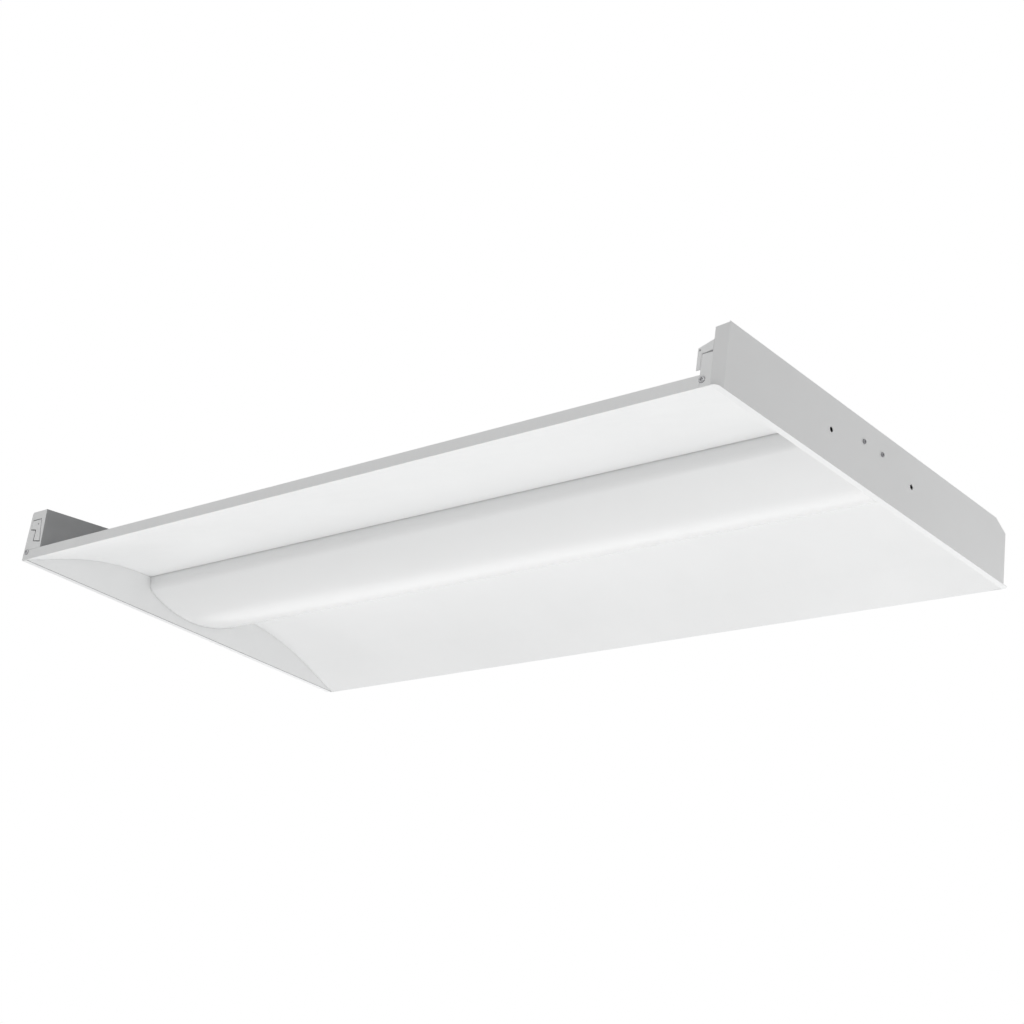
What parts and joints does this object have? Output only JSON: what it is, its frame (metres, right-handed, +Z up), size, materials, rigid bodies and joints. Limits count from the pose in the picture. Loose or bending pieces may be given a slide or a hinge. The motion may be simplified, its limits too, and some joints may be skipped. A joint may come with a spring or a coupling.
{
  "type": "recessed troffer light",
  "caption": "Recessed ceiling light with a long convex opal diffuser between two curved white reflector wings, end plates with grid clips, back housing and driver.",
  "frame": {"origin": "centre of the rim plane, which rests on the ceiling grid", "axes": "+X along the light, +Y across it towards the hinge side of the diffuser, +Z up into the ceiling"},
  "size_m": [1.2162, 0.6062, 0.079],
  "materials": {
    "white_paint": "satin white baked enamel",
    "galvanised_steel": "matt galvanised sheet",
    "zinc_screw": "zinc plated",
    "spring_steel": "bare spring steel",
    "opal_acrylic": "satin opal",
    "cap_plastic": "satin",
    "black_rubber": "matt",
    "board_white": "white solder mask",
    "led_phosphor": "translucent yellow",
    "connector_white": "satin",
    "circuit_board": "satin solder mask",
    "component_black": "satin",
    "connector_orange": "smooth",
    "brass_lug": "tinned",
    "line_wire": "satin",
    "neutral_wire": "satin",
    "ground_wire": "satin",
    "red_lead": "satin",
    "blue_lead": "satin"
  },
  "bodies": {
    "fixture": {"access_lock_screw": "zinc_screw", "access_pivot_screw": "zinc_screw", "back_housing": "galvanised_steel", "board_connectors": "connector_white", "board_screws": "zinc_screw", "catch_rivets": "zinc_screw", "corner_screws": "zinc_screw", "diffuser_catch_left": "spring_steel", "diffuser_catch_right": "spring_steel", "disconnect_socket": "connector_orange", "driver_base": "galvanised_steel", "driver_board": "circuit_board", "driver_case": "galvanised_steel", "driver_components": "component_black", "driver_input_terminal": "connector_white", "driver_output_terminal": "connector_white", "driver_screws": "zinc_screw", "driver_standoffs": "zinc_screw", "end_plate_left": "white_paint", "end_plate_right": "white_paint", "end_plate_screws_left": "zinc_screw", "end_plate_screws_right": "zinc_screw", "end_reflector_left": "white_paint", "end_reflector_right": "white_paint", "ground_lug": "brass_lug", "ground_screw": "zinc_screw", "housing_screws": "zinc_screw", "housing_standoffs": "galvanised_steel", "led_board_left_far": "board_white", "led_board_left_near": "board_white", "led_board_right_far": "board_white", "led_board_right_near": "board_white", "led_lead_minus": "blue_lead", "led_lead_plus": "red_lead", "led_packages_left_far": "led_phosphor", "led_packages_left_near": "led_phosphor", "led_packages_right_far": "led_phosphor", "led_packages_right_near": "led_phosphor", "led_tray": "galvanised_steel", "row_jumper": "neutral_wire", "tray_brackets": "galvanised_steel", "tray_grommet": "black_rubber", "tray_screws": "zinc_screw", "wing_far": "white_paint", "wing_near": "white_paint", "wire_ground": "ground_wire", "wire_line": "line_wire", "wire_neutral": "neutral_wire"},
    "diffuser": {"diffuser_lens": "opal_acrylic", "diffuser_end_cap_left": "cap_plastic", "diffuser_end_cap_right": "cap_plastic", "diffuser_hinge_pins": "zinc_screw"},
    "clip_left_near": {"grid_clip_left_near": "white_paint"},
    "clip_left_far": {"grid_clip_left_far": "white_paint"},
    "clip_right_near": {"grid_clip_right_near": "white_paint"},
    "clip_right_far": {"grid_clip_right_far": "white_paint"},
    "cover": {"access_cover": "galvanised_steel", "knockout_slug": "galvanised_steel"},
    "plug": {"disconnect_plug": "connector_orange"}
  },
  "joints": [
    {"name": "diffuser_swing", "type": "hinge", "parent": "fixture", "child": "diffuser", "pos_m": [0, 0.08, 0.047], "axis": [1, 0, 0], "range_deg": [0, 85]},
    {"name": "clip_left_near_fold", "type": "hinge", "parent": "fixture", "child": "clip_left_near", "pos_m": [-0.602, -0.3015, 0.0535], "axis": [0, 0, -1], "range_deg": [0, 90]},
    {"name": "clip_left_far_fold", "type": "hinge", "parent": "fixture", "child": "clip_left_far", "pos_m": [-0.598, 0.3015, 0.0475], "axis": [0, 0, 1], "range_deg": [0, 90]},
    {"name": "clip_right_near_fold", "type": "hinge", "parent": "fixture", "child": "clip_right_near", "pos_m": [0.598, -0.3015, 0.0475], "axis": [0, 0, 1], "range_deg": [0, 90]},
    {"name": "clip_right_far_fold", "type": "hinge", "parent": "fixture", "child": "clip_right_far", "pos_m": [0.598, 0.3015, 0.0475], "axis": [0, 0, -1], "range_deg": [0, 90]},
    {"name": "cover_swing", "type": "hinge", "parent": "fixture", "child": "cover", "pos_m": [-0.418, -0.033, 0.0755], "axis": [0, 0, 1], "range_deg": [0, 110]},
    {"name": "plug_pull", "type": "slide", "parent": "fixture", "child": "plug", "axis": [-1, 0, 0], "range_m": [0, 0.02]}
  ]
}
